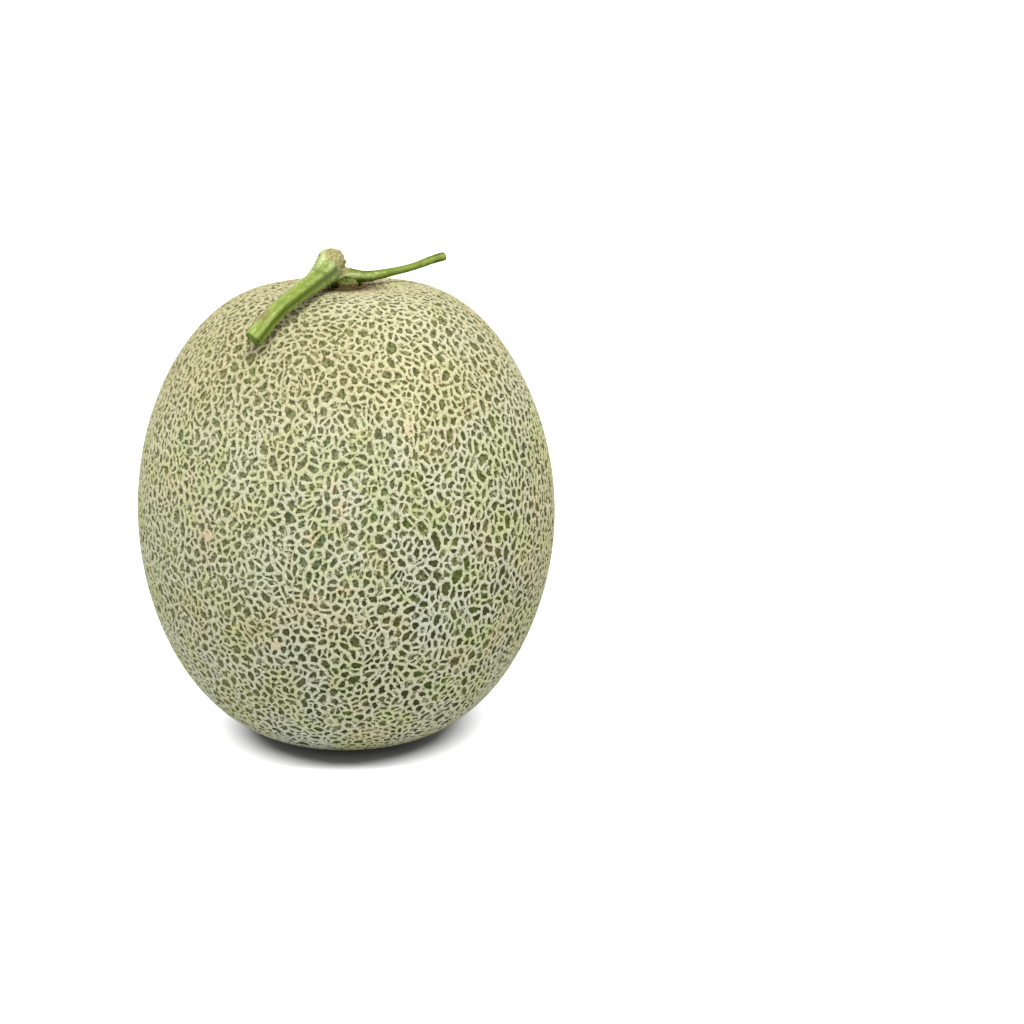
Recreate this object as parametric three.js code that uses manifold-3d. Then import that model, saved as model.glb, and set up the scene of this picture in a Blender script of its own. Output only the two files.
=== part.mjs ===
// Netted melon standing on its blossom end, with the T-shaped piece of vine it was cut with.
// Millimetres, +Z up; the origin is the middle of the small flat spot that the fruit rests on.
import * as THREE from "three";
import { ConvexHull } from "three/addons/math/ConvexHull.js";
import { mergeVertices } from "three/addons/utils/BufferGeometryUtils.js";
import Module from "manifold-3d";

const wasm = await Module();
wasm.setup();

// The fruit: two half ellipsoids, dished round the stem and flattened at the blossom end.
const fruitRadius = 73;
const upperHeight = 92.2;
const lowerHeight = 91.1;
const stemBasin = { depth: 12.7, spread: 30.7 };
const blossomEnd = { rise: 9.2, spread: 36.6 };
const restingCut = 0.7; // taken off the blossom end, which leaves a flat spot about 34 mm across
const equatorZ = lowerHeight - blossomEnd.rise - restingCut;
const poleZ = equatorZ + upperHeight - stemBasin.depth;
const unevenness = 0.35; // how far the round section strays from a true circle

// The raised net, larger than life: ridges along the edges of irregular cells.
const net = { seed: 4093, cells: 560, scatter: 0.5, relief: 1.7, halfWidth: 1.4, widestShare: 0.6 };
const smoothRest = { inner: 17, outer: 25 }; // the net fades out round the resting spot
const smoothBasin = { inner: 8, outer: 17 }; // and towards the stem

// The stem: a thick length of vine, a thin branch and the short stalk that carries them.
const clearance = 0.3;
const foot = { radius: 6.2, sunk: 1.2, ribDepth: 0.05, socketSides: 40 };
const vine = {
  route: [[-4.6, -1.5, 168.4], [-6.6, -16, 166.9], [-9.9, -28, 165.4], [-14.5, -36, 162.7],
    [-20.4, -41.3, 158], [-26.9, -46.3, 150.4]],
  radii: [4.9, 4.1, 3.4, 3, 2.9, 3.25], ribs: 6, ribDepth: 0.07, sides: 24, steps: 22,
};
const branch = {
  route: [[-7.2, -8.5, 164.4], [-3.6, -3.4, 164.9], [0.2, -0.6, 165.2], [4.2, 1.9, 164.6], [8.5, 4.6, 164.2],
    [16, 8, 165.1], [23.5, 11, 166.5], [30, 13.2, 168.6], [35.3, 14.7, 170]],
  radii: [2.5, 2.8, 2.9, 2.15, 1.7, 1.42, 1.35, 1.5, 1.65], ribs: 3, ribDepth: 0.06, sides: 18, steps: 30,
};
const stalk = {
  route: [[0, 0, poleZ - foot.sunk], [0, 0, poleZ + 0.8], [-1.2, -0.5, poleZ + 3], [-4, -1.6, poleZ + 7]],
  radii: [foot.radius / (1 + foot.ribDepth), 4.4, 3.2, 3.6], ribs: 5, ribDepth: foot.ribDepth, sides: 20, steps: 8,
};
const knob = { centre: [-4.1, -0.8, 170.4], radii: [4.8, 4.8, 4.3], lump: 0.3, detail: 3 };
const nub = { base: [-0.2, 1, 167.2], tip: [0.9, 2, 170.3], radii: [0.85, 0.55], sides: 7 };

const up = new THREE.Vector3(0, 0, 1);
const weldDistance = 1e-4;

function seededRandom(seed) { // the usual multiplying generator, which is the same on every machine
  let state = seed;
  return () => {
    state = (state * 16807) % 2147483647;
    return state / 2147483647;
  };
}

function fade(value, start, end) {
  return THREE.MathUtils.smoothstep(value, start, end);
}

// A point of the fruit's outer surface for a direction from its middle.
function skinPoint(direction) {
  const { x, y, z } = direction;
  const turn = Math.atan2(y, x);
  const girth = fruitRadius + unevenness * (1 - z * z) * (Math.cos(2 * turn + 0.6) + 0.6 * Math.cos(3 * turn + 4 * z));
  const across = fruitRadius * Math.hypot(x, y);
  const end = fade(Math.abs(z), 0, 0.35);
  const dish = stemBasin.depth * Math.exp(-((across / stemBasin.spread) ** 2)) * end;
  const flattening = blossomEnd.rise * Math.exp(-((across / blossomEnd.spread) ** 2)) * end;
  const height = z > 0 ? upperHeight * z - dish : lowerHeight * z + flattening;
  return new THREE.Vector3(girth * x, girth * y, equatorZ + height);
}

// How deep the floor of the net's cells lies under the ridges.
function reliefAt(direction) {
  const across = fruitRadius * Math.hypot(direction.x, direction.y);
  const smooth = direction.z > 0 ? smoothBasin : smoothRest;
  return net.relief * fade(across, smooth.inner, smooth.outer);
}

function floorPoint(direction) {
  const outward = new THREE.Vector3(
    direction.x / fruitRadius, direction.y / fruitRadius, direction.z / upperHeight).normalize();
  return skinPoint(direction).addScaledVector(outward, -reliefAt(direction));
}

// Seeds of the cells: a golden-angle spiral over a sphere, each one scattered.
function scatterSeeds() {
  const random = seededRandom(net.seed);
  const goldenAngle = Math.PI * (3 - Math.sqrt(5));
  const spacing = Math.sqrt((4 * Math.PI) / net.cells);
  return Array.from({ length: net.cells }, (_, index) => {
    const z = 1 - (2 * (index + 0.5)) / net.cells;
    const turn = index * goldenAngle;
    const seed = new THREE.Vector3(Math.cos(turn) * Math.sqrt(1 - z * z), Math.sin(turn) * Math.sqrt(1 - z * z), z);
    const shift = new THREE.Vector3(random() - 0.5, random() - 0.5, random() - 0.5);
    return seed.addScaledVector(shift, 2 * net.scatter * spacing).normalize();
  });
}

// The corners where cells meet, and the corners round each seed in turning order.
function cellsRound(seeds) {
  const faces = new ConvexHull().setFromPoints(seeds).faces;
  const corners = faces.map((face) => face.normal.clone().normalize());
  const around = new Map(seeds.map((seed) => [seed, []]));
  faces.forEach((face, number) => {
    let edge = face.edge;
    do {
      around.get(edge.head().point).push(number);
      edge = edge.next;
    } while (edge !== face.edge);
  });
  const rings = seeds.map((seed) => {
    const side = new THREE.Vector3(0, 1, 0).cross(seed).normalize();
    const ahead = seed.clone().cross(side);
    const turnOf = (number) => Math.atan2(corners[number].dot(ahead), corners[number].dot(side));
    return around.get(seed).sort((a, b) => turnOf(a) - turnOf(b));
  });
  return { corners, rings };
}

function middleOf(ring, corners) {
  return ring.reduce((sum, number) => sum.add(corners[number]), new THREE.Vector3()).normalize();
}

// The share of the way to a cell's middle that its ridge's slope takes up.
function slopeShare(ring, corners, middle) {
  const distances = ring.map((number, index) => {
    const next = corners[ring[(index + 1) % ring.length]];
    return corners[number].clone().add(next).multiplyScalar(0.5).distanceTo(middle) * fruitRadius;
  });
  const reach = distances.reduce((sum, distance) => sum + distance, 0) / distances.length;
  return Math.min(net.halfWidth / reach, net.widestShare);
}

// One closed surface: a ridge along every cell's edge, sloping to a slightly bulging floor.
function nettedSkin() {
  const loose = cellsRound(scatterSeeds());
  const { corners, rings } = cellsRound(loose.rings.map((ring) => middleOf(ring, loose.corners)));
  const points = corners.map(skinPoint);
  const triangles = [];
  for (const ring of rings) {
    const middle = middleOf(ring, corners);
    const share = slopeShare(ring, corners, middle);
    const first = points.length;
    for (const number of ring) {
      points.push(floorPoint(corners[number].clone().lerp(middle, share).normalize()));
    }
    points.push(floorPoint(middle));
    ring.forEach((crest, index) => {
      const follower = (index + 1) % ring.length;
      triangles.push(crest, ring[follower], first + follower);
      triangles.push(crest, first + follower, first + index);
      triangles.push(first + index, first + follower, first + ring.length);
    });
  }
  const skin = new THREE.BufferGeometry().setFromPoints(points);
  return skin.setIndex(triangles);
}

function toSolid(geometry) {
  const bare = geometry.clone();
  bare.deleteAttribute("normal");
  bare.deleteAttribute("uv");
  const closed = mergeVertices(bare, weldDistance);
  return new wasm.Manifold(new wasm.Mesh({
    numProp: 3,
    vertProperties: new Float32Array(closed.attributes.position.array),
    triVerts: new Uint32Array(closed.index.array),
  }));
}

function toMesh(solid, name, finish) {
  const cut = solid.getMesh();
  const geometry = new THREE.BufferGeometry();
  geometry.setAttribute("position", new THREE.BufferAttribute(cut.vertProperties, 3));
  geometry.setIndex(new THREE.BufferAttribute(cut.triVerts, 1));
  geometry.computeVertexNormals();
  const mesh = new THREE.Mesh(geometry, new THREE.MeshStandardMaterial(finish));
  mesh.name = name;
  return mesh;
}

function fruit() {
  const width = 4 * fruitRadius;
  const belowRest = new THREE.BoxGeometry(width, width, width).translate(0, 0, -width / 2);
  const socketDepth = foot.sunk + clearance;
  const reach = foot.radius + clearance;
  const socket = new THREE.CylinderGeometry(reach, reach, 2 * socketDepth, foot.socketSides);
  socket.rotateX(Math.PI / 2).translate(0, 0, poleZ);
  return toSolid(nettedSkin()).subtract(toSolid(belowRest)).subtract(toSolid(socket));
}

// The value at a share (0 to 1) of the way through a list.
function along(values, share) {
  const place = share * (values.length - 1);
  const index = Math.min(Math.floor(place), values.length - 2);
  return THREE.MathUtils.lerp(values[index], values[index + 1], place - index);
}

// A closed cylinder bent along a route, with its radius following a list and ribs along it.
function ribbedTube({ route, radii, ribs, ribDepth, sides, steps }) {
  const curve = new THREE.CatmullRomCurve3(route.map((point) => new THREE.Vector3(...point)));
  const frames = curve.computeFrenetFrames(steps, false);
  const tube = new THREE.CylinderGeometry(1, 1, 1, sides, steps);
  const spots = tube.attributes.position;
  for (let index = 0; index < spots.count; index++) {
    const share = spots.getY(index) + 0.5;
    const step = Math.round(share * steps);
    const turn = Math.atan2(spots.getX(index), spots.getZ(index));
    const fromAxis = Math.hypot(spots.getX(index), spots.getZ(index));
    const radius = fromAxis * along(radii, share) * (1 + ribDepth * Math.cos(ribs * turn));
    const spot = curve.getPointAt(share);
    spot.addScaledVector(frames.normals[step], radius * Math.cos(turn));
    spot.addScaledVector(frames.binormals[step], radius * Math.sin(turn));
    spots.setXYZ(index, spot.x, spot.y, spot.z);
  }
  return tube;
}

function corkyKnob() {
  const ball = new THREE.IcosahedronGeometry(1, knob.detail);
  const spots = ball.attributes.position;
  for (let index = 0; index < spots.count; index++) {
    const spot = new THREE.Vector3().fromBufferAttribute(spots, index);
    const lump = Math.sin(5 * spot.x + 1) * Math.sin(5 * spot.y) * Math.sin(4 * spot.z + 2);
    spots.setXYZ(index, ...knob.radii.map((radius, axis) =>
      knob.centre[axis] + spot.getComponent(axis) * (radius + knob.lump * lump)));
  }
  return ball;
}

function driedNub() {
  const base = new THREE.Vector3(...nub.base);
  const lean = new THREE.Vector3(...nub.tip).sub(base);
  const cone = new THREE.CylinderGeometry(nub.radii[1], nub.radii[0], lean.length(), nub.sides);
  cone.translate(0, lean.length() / 2, 0).rotateX(Math.PI / 2);
  cone.applyQuaternion(new THREE.Quaternion().setFromUnitVectors(up, lean.clone().normalize()));
  return cone.translate(base.x, base.y, base.z);
}

function stem() {
  const parts = [ribbedTube(vine), ribbedTube(branch), ribbedTube(stalk), corkyKnob(), driedNub()];
  return parts.map(toSolid).reduce((whole, part) => whole.add(part));
}

const melon = new THREE.Group();
melon.add(toMesh(fruit(), "fruit", { color: 0xa9ab7d, roughness: 0.72, metalness: 0 }));
melon.add(toMesh(stem(), "stem", { color: 0x86a445, roughness: 0.6, metalness: 0 }));

export default melon;
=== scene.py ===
import math
import random

import bmesh
import bpy
from mathutils import Matrix, Vector, kdtree, noise


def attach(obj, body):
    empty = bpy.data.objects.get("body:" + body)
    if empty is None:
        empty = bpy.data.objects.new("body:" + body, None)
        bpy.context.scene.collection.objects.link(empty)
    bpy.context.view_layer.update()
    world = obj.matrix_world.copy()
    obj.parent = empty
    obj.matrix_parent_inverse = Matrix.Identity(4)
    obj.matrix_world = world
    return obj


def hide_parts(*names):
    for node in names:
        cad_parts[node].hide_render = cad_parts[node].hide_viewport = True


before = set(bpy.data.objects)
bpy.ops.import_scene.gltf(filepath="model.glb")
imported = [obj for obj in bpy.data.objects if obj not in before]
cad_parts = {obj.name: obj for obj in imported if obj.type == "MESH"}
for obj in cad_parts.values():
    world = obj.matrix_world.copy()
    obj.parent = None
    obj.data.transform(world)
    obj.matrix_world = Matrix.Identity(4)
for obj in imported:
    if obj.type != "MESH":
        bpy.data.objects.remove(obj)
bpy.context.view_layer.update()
mm = 0.001

# colours, nodes and painted layers


def linearColour(hexCode):  # sRGB hex to the linear values that shaders want
    channels = [int(hexCode[i:i + 2], 16) / 255 for i in (0, 2, 4)]
    return [c / 12.92 if c <= 0.04045 else ((c + 0.055) / 1.055) ** 2.4 for c in channels] + [1.0]


def addNode(tree, kind, settings=None, links=None):  # one node with its settings and incoming links
    node = tree.nodes.new(kind)
    for name, value in (settings or {}).items():
        if isinstance(name, str) and hasattr(node, name):
            setattr(node, name, value)
        else:
            node.inputs[name].default_value = value
    for name, source in (links or {}).items():
        tree.links.new(source, node.inputs[name])
    return node


def newMaterial(name):
    material = bpy.data.materials.new(name)
    material.use_nodes = True
    material.node_tree.nodes.clear()
    return material, material.node_tree


def shareWhere(tree, fields, rises):
    # the product of its rises: (field) as it is, (field, number) for that many times it, or
    # (field, start, end) for a smooth rise from 0 to 1, with (least, most) added for another reach
    share = None
    for name, *how in rises:
        rise = fields[name]
        if len(how) == 1:
            rise = addNode(tree, "ShaderNodeMath", {
                "operation": "MULTIPLY", 1: how[0]}, {0: rise}).outputs[0]
        elif how:
            least, most = how[2] if len(how) > 2 else (0, 1)
            rise = addNode(tree, "ShaderNodeMapRange", {
                "interpolation_type": "SMOOTHSTEP", "From Min": how[0], "From Max": how[1],
                "To Min": least, "To Max": most}, {"Value": rise}).outputs[0]
        if share is not None:
            rise = addNode(tree, "ShaderNodeMath", {
                "operation": "MULTIPLY"}, {0: share, 1: rise}).outputs[0]
        share = rise
    return share


def painted(tree, fields, colours, base, tints):  # lays tints over a base, each by the share of its rises
    for tint, *rises in tints:
        settings, links = {"data_type": "RGBA"}, {0: shareWhere(tree, fields, rises)}
        for slot, colour in ((6, base), (7, tint)):
            colour = colours[colour] if isinstance(colour, str) else colour
            if isinstance(colour, str):
                settings[slot] = linearColour(colour)
            else:
                links[slot] = colour
        base = addNode(tree, "ShaderNodeMix", settings, links).outputs[2]
    return base


def surfaceFields(tree, noises, attributes):  # what tints can follow: place, noises and marks on the mesh
    place = addNode(tree, "ShaderNodeTexCoord").outputs["Object"]
    axes = addNode(tree, "ShaderNodeSeparateXYZ", links={0: place}).outputs
    fields = {"place": place, "across": axes["X"], "level": axes["Z"]}
    for name, (size, detail, roughness) in noises.items():
        fields[name] = addNode(tree, "ShaderNodeTexNoise", {
            "Scale": 1 / (size * mm), "Detail": detail, "Roughness": roughness}, {
            "Vector": place}).outputs[0]
    for name in attributes:
        fields[name] = addNode(tree, "ShaderNodeAttribute", {"attribute_name": name}).outputs["Fac"]
    return fields


def madeUneven(tree, field, by, size):  # a field moved to and fro by a noise, by up to half the size
    centred = addNode(tree, "ShaderNodeMath", {"operation": "SUBTRACT", 1: 0.5}, {0: by}).outputs[0]
    return addNode(tree, "ShaderNodeMath", {"operation": "MULTIPLY_ADD", 1: size}, {
        0: centred, 2: field}).outputs[0]


def largestOf(tree, shares):
    most = shares[0]
    for share in shares[1:]:
        most = addNode(tree, "ShaderNodeMath", {"operation": "MAXIMUM"}, {0: most, 1: share}).outputs[0]
    return most


def finishPiece(bm, name, smooth=True):
    for face in bm.faces:
        face.smooth = smooth
    mesh = bpy.data.meshes.new(name)
    bm.to_mesh(mesh)
    bm.free()
    piece = bpy.data.objects.new(name, mesh)
    bpy.context.scene.collection.objects.link(piece)
    return piece


def countTriangles(piece):
    return sum(len(polygon.vertices) - 2 for polygon in piece.data.polygons)


def fade(value, start, end):  # 0 at start and before it, 1 at end and past it, smooth between
    share = min(max((value - start) / (end - start), 0), 1)
    return share * share * (3 - 2 * share)


# the camera, the floor and the light

view = {"elevation": 14, "distance": 853.7, "lens": 85, "aimRight": 58.3, "aimHeight": 81.1}


def placeCamera():
    camera = bpy.data.objects.new("camera", bpy.data.cameras.new("camera"))
    bpy.context.scene.collection.objects.link(camera)
    tilt = math.radians(view["elevation"])
    away = Vector((0, -math.cos(tilt), math.sin(tilt))) * view["distance"]
    camera.location = (Vector((view["aimRight"], 0, view["aimHeight"])) + away) * mm
    camera.rotation_euler = (math.radians(90) - tilt, 0, 0)
    camera.data.lens = view["lens"]
    bpy.context.scene.camera = camera


studio = {
    "floorSize": 30.0, "floorBounce": 0.16, "floorSeen": 0.35, "roomColour": "FFFFFF", "roomLight": 0.95,
    "backdropLight": 1.02,
}
lamps = {  # a softbox hung over the camera, and one on each side that only reaches the floor
    "large_soft_lamp": {"strength": 2.62, "spread": 30, "from": (0.14, -0.38, 1.0), "floorOnly": False},
    "left_floor_lamp": {"strength": 11.0, "spread": 26, "from": (-0.8, -0.6, 1.28), "floorOnly": True},
    "right_floor_lamp": {"strength": 11.0, "spread": 26, "from": (0.8, -0.6, 1.28), "floorOnly": True},
}


def makeFloor():  # seen brighter than the light that it throws back on the fruit
    bm = bmesh.new()
    bmesh.ops.create_grid(bm, x_segments=1, y_segments=1, size=studio["floorSize"] / 2)
    floor = finishPiece(bm, "studio_floor", smooth=False)
    material, tree = newMaterial("matt white paper")  # uncoated card: no shine at all
    path = addNode(tree, "ShaderNodeLightPath")
    layers = [addNode(tree, "ShaderNodeBsdfDiffuse", {"Color": (studio[name],) * 3 + (1,)}).outputs[0]
              for name in ("floorBounce", "floorSeen")]
    paper = addNode(tree, "ShaderNodeMixShader", links={
        0: path.outputs["Is Camera Ray"], 1: layers[0], 2: layers[1]})
    addNode(tree, "ShaderNodeOutputMaterial", links={"Surface": paper.outputs[0]})
    floor.data.materials.append(material)
    return floor


def makeRoom():
    world = bpy.data.worlds.new("soft white room")  # dimmer on the fruit than the paper behind it
    world.use_nodes = True
    tree = world.node_tree
    tree.nodes.clear()
    path = addNode(tree, "ShaderNodeLightPath")
    layers = [addNode(tree, "ShaderNodeBackground", {
        "Color": linearColour(studio["roomColour"]), "Strength": studio[name]}).outputs[0]
        for name in ("roomLight", "backdropLight")]
    both = addNode(tree, "ShaderNodeMixShader", links={
        0: path.outputs["Is Camera Ray"], 1: layers[0], 2: layers[1]})
    addNode(tree, "ShaderNodeOutputWorld", links={"Surface": both.outputs[0]})
    bpy.context.scene.world = world
    bpy.context.scene.view_settings.view_transform = "Standard"


def hangLamps(floor):
    floorOnly = bpy.data.collections.new("floor_only")
    floorOnly.objects.link(floor)
    for name, settings in lamps.items():
        lamp = bpy.data.lights.new(name, "SUN")
        lamp.energy = settings["strength"]
        lamp.angle = math.radians(settings["spread"])
        lampObject = bpy.data.objects.new(name, lamp)
        lampObject.rotation_euler = Vector(settings["from"]).to_track_quat("Z", "Y").to_euler()
        bpy.context.scene.collection.objects.link(lampObject)
        if settings["floorOnly"]:
            lampObject.light_linking.receiver_collection = floorOnly
    print("studio: floor, room and", len(lamps), "lamps")


# the fruit: its outer surface, as in the frame, in mm

melon = {
    "radius": 73, "upperHeight": 92.2, "lowerHeight": 91.1, "basinDepth": 12.7, "basinSpread": 30.7,
    "blossomRise": 9.2, "blossomSpread": 36.6, "restingCut": 0.7, "unevenness": 0.35,
}
equatorZ = melon["lowerHeight"] - melon["blossomRise"] - melon["restingCut"]
poleZ = equatorZ + melon["upperHeight"] - melon["basinDepth"]


def skinPoint(direction):  # where the skin is, in a direction from the middle of an upright unit ball
    turn = math.atan2(direction.y, direction.x)
    wave = math.cos(2 * turn + 0.6) + 0.6 * math.cos(3 * turn + 4 * direction.z)
    girth = melon["radius"] + melon["unevenness"] * (1 - direction.z ** 2) * wave
    across = melon["radius"] * math.hypot(direction.x, direction.y)
    end = fade(abs(direction.z), 0, 0.35)
    if direction.z > 0:
        dish = melon["basinDepth"] * math.exp(-(across / melon["basinSpread"]) ** 2) * end
        height = melon["upperHeight"] * direction.z - dish
    else:
        flat = melon["blossomRise"] * math.exp(-(across / melon["blossomSpread"]) ** 2) * end
        height = melon["lowerHeight"] * direction.z + flat
    return Vector((girth * direction.x, girth * direction.y, max(equatorZ + height, 0)))


# the net: large cells first, then cracks across them until they have their real size

rind = {  # in mm, and cell areas in square mm
    "seed": 4093, "fineLevel": 6, "kept": 0.6, "scatter": 0.46,  # the large cells
    "cellArea": 12.66, "spread": 0.5, "widest": 0.48, "crackOver": 1.5,  # how far cracking goes
    "denserAt": (-0.1, -0.9, 0.3), "denser": 0.22,
    "crackFrom": (0.3, 0.7), "uneven": (0.36, 0.64), "snap": 0.55,  # where a crack starts and ends
    "shortEdge": 0.5, "relaxed": 0.25, "waver": 0.22,
    "mainHalf": (0.56, 1.06), "crackHalf": (0.52, 0.88), "top": 0.61,  # half widths, and the flat share
    "relief": 0.36, "ragged": 0.16, "straightLean": 0.93, "sharpLean": -0.85, "sharpPull": 0.5,
    "leastReach": 0.53, "wideReach": 0.95, "openShare": 0.52, "closedNearAxis": 7.5,  # which cells open
    # the foot and middle heights also set painted shade: darker floor next to the cords, fading towards the
    # middle of wide cells
    "footHeight": -0.3, "slope": 0.32, "dipShare": 0.85,  # heights that the colours follow
    "startInset": 0.01, "mergeWithin": 0.03,
}
scars = {  # places where the cork closed over, in mm
    "spots": [(0.6, -70.1, 106.9), (2.8, -71.3, 100.5), (-41.9, -59.5, 87.5), (-19.8, -66.4, 52.5),
              (4.0, -72.6, 73.1), (-7.0, -72.3, 89.8), (24.5, -60.0, 123.5), (-5.0, -51.2, 146.6)],
    "closed": 1.3, "faded": 3.6, "others": 22, "othersBehind": -0.3,
}


def jittered(rng, size):
    return Vector([rng.uniform(-1, 1) for _ in range(3)]) * size


def scatteredCells(rng):  # an irregular net of cells over a unit ball: the dual of a scattered hull
    bm = bmesh.new()
    bmesh.ops.create_icosphere(bm, subdivisions=rind["fineLevel"], radius=1)
    spacing = math.sqrt(4 * math.pi / len(bm.verts))
    bmesh.ops.delete(bm, geom=bm.edges[:], context="EDGES_FACES")
    bmesh.ops.delete(bm, geom=[vert for vert in bm.verts if rng.random() > rind["kept"]], context="VERTS")
    for vert in bm.verts:
        vert.co = (vert.co + jittered(rng, rind["scatter"]) * spacing).normalized()
    bmesh.ops.convex_hull(bm, input=bm.verts[:])
    seeds = bm.verts[:]
    sides = bm.edges[:]
    bmesh.ops.poke(bm, faces=bm.faces[:])
    bmesh.ops.rotate_edges(bm, edges=sides)
    bmesh.ops.dissolve_verts(bm, verts=seeds)
    return bm


def ringSpot(face, distance):  # the vertex at a distance round a cell's edge, made there if none is near
    for loop in face.loops:
        length = loop.edge.calc_length()
        if distance <= length:
            if distance < rind["snap"]:
                return loop.vert
            if length - distance < rind["snap"]:
                return loop.link_loop_next.vert
            return bmesh.utils.edge_split(loop.edge, loop.vert, distance / length)[1]
        distance -= length
    return face.loops[0].vert


def crackCell(face, rng):  # one crack from the longest side to about the opposite side
    lengths = [loop.edge.calc_length() for loop in face.loops]
    around = sum(lengths)
    longest = lengths.index(max(lengths))
    start = sum(lengths[:longest]) + lengths[longest] * rng.uniform(*rind["crackFrom"])
    first = ringSpot(face, start)
    second = ringSpot(face, (start + around * rng.uniform(*rind["uneven"])) % around)
    if first == second or any(edge.other_vert(first) == second for edge in first.link_edges):
        return None
    return bmesh.utils.face_split(face, first, second)[0]


def crackToSize(bm, rng):
    denserSide = Vector(rind["denserAt"]).normalized()
    waiting = bm.faces[:]
    while waiting:
        face = waiting.pop()
        limit = rind["cellArea"] * math.exp(min(rng.gauss(0, rind["spread"]), rind["widest"]))
        limit *= 1 - rind["denser"] * face.calc_center_median().normalized().dot(denserSide)
        if face.calc_area() > rind["crackOver"] * limit:
            fresh = crackCell(face, rng)
            if fresh:
                waiting += [face, fresh]


def crackedNet(rng):
    bm = scatteredCells(rng)
    stretch = Vector((melon["radius"], melon["radius"], (melon["upperHeight"] + melon["lowerHeight"]) / 2))
    for vert in bm.verts:
        vert.co = vert.co.normalized() * stretch
    halfLayer = bm.edges.layers.float.new("ridgeHalf")
    for edge in bm.edges:
        edge[halfLayer] = rng.uniform(*rind["mainHalf"])
    crackToSize(bm, rng)
    for edge in bm.edges:
        if not edge[halfLayer]:
            edge[halfLayer] = rng.uniform(*rind["crackHalf"])
    bmesh.ops.dissolve_verts(bm, verts=[vert for vert in bm.verts if len(vert.link_edges) == 2])
    bmesh.ops.remove_doubles(bm, verts=bm.verts[:], dist=rind["shortEdge"])
    bmesh.ops.smooth_vert(bm, verts=bm.verts[:], factor=rind["relaxed"],
                          use_axis_x=True, use_axis_y=True, use_axis_z=True)
    for vert in bm.verts:
        moved = vert.co + jittered(rng, rind["waver"])
        vert.co = skinPoint(Vector([c / s for c, s in zip(moved, stretch)]).normalized())
    bm.normal_update()
    return bm


def scarShare(spot, spots):  # 1 on a scar, 0 away from it
    nearest = min((spot - scar).length for scar in spots)
    return 1 - fade(nearest, scars["closed"], scars["faded"])


def scarSpots(rng):
    spots = [Vector(spot) for spot in scars["spots"]]
    for _ in range(scars["others"]):
        direction = Vector([rng.gauss(0, 1) for _ in range(3)]).normalized()
        if direction.y > scars["othersBehind"]:
            spots.append(skinPoint(direction))
    return spots


def ringInside(cell, halves, share):  # the cell's corners moved in from its ridges, never past each other
    corners = [vert.co.copy() for vert in cell.verts]
    count = len(corners)
    sides = [(corners[(i + 1) % count] - corners[i]).normalized() for i in range(count)]
    inward = [cell.normal.cross(side) for side in sides]
    spots = []
    for i, corner in enumerate(corners):
        before, after = inward[i - 1], inward[i]
        halfBefore, halfAfter = halves[i - 1] * share, halves[i] * share
        lean = before.dot(after)
        if lean < rind["straightLean"]:
            pull = 1 - lean * lean if lean > rind["sharpLean"] else rind["sharpPull"]
            shift = before * (halfBefore - lean * halfAfter) / pull
            shift += after * (halfAfter - lean * halfBefore) / pull
        else:
            shift = (before + after).normalized() * (halfBefore + halfAfter) / 2
        spots.append(corner + shift)
    for _ in range(3):
        for i in range(count):
            following = (i + 1) % count
            if (spots[following] - spots[i]).dot(sides[i]) <= 0:
                spots[i] = spots[following] = (spots[i] + spots[following]) / 2
    return spots


def planCell(cell, halfLayer, spots, rng):  # a cell's ridge tops, its floor, and whether it is open
    reach = 2 * cell.calc_area() / cell.calc_perimeter()
    halves = [loop.edge[halfLayer] for loop in cell.loops]
    fit = min(1, rind["openShare"] * reach / max(halves))
    halves = [half * fit for half in halves]
    sunk = cell.normal * rind["relief"] * min(1, reach)
    middle = cell.calc_center_median()
    isOpen = (reach > rind["leastReach"] and math.hypot(middle.x, middle.y) > rind["closedNearAxis"]
              and scarShare(middle, spots) < 1)
    return {
        "cell": cell, "open": isOpen, "wide": isOpen and reach > rind["wideReach"],
        "tops": ringInside(cell, halves, rind["top"]),
        "feet": [spot + jittered(rng, rind["ragged"]) - sunk for spot in ringInside(cell, halves, 1)],
        "tone": rng.random(),
    }


def insetCells(bm, plans, ring):  # a new ring of corners in each cell, moved to where the plan has it
    bmesh.ops.inset_individual(bm, faces=[plan["cell"] for plan in plans], thickness=rind["startInset"])
    for plan in plans:
        for vert, spot in zip(plan["cell"].verts, plan[ring]):
            vert.co = spot


def openJunctions(bm, crests):  # trades sharp crest lines for flat tops that meet in small junctions
    onCrest = set(crests)
    lines = [edge for edge in bm.edges if edge.verts[0] in onCrest and edge.verts[1] in onCrest]
    bmesh.ops.dissolve_edges(bm, edges=lines)
    for vert in crests:
        for face in list(vert.link_faces):
            loop = next(loop for loop in face.loops if loop.vert == vert)
            if len(face.verts) > 3:
                bmesh.utils.face_split(face, loop.link_loop_prev.vert, loop.link_loop_next.vert)
    bmesh.ops.dissolve_verts(bm, verts=crests)


# the middle vertex lets the painted shade next to the cords fade out across wide cells
def dipWideCells(bm, cells, netLayer, toneLayer):  # a middle vertex, lower for the colours than the foot
    for vert in bmesh.ops.poke(bm, faces=cells)["verts"]:
        around = [edge.other_vert(vert) for edge in vert.link_edges]
        vert[toneLayer] = around[0][toneLayer]
        reach = rind["dipShare"] * sum((other.co - vert.co).length for other in around) / len(around)
        vert[netLayer] = rind["footHeight"] - reach / rind["slope"]


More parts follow.
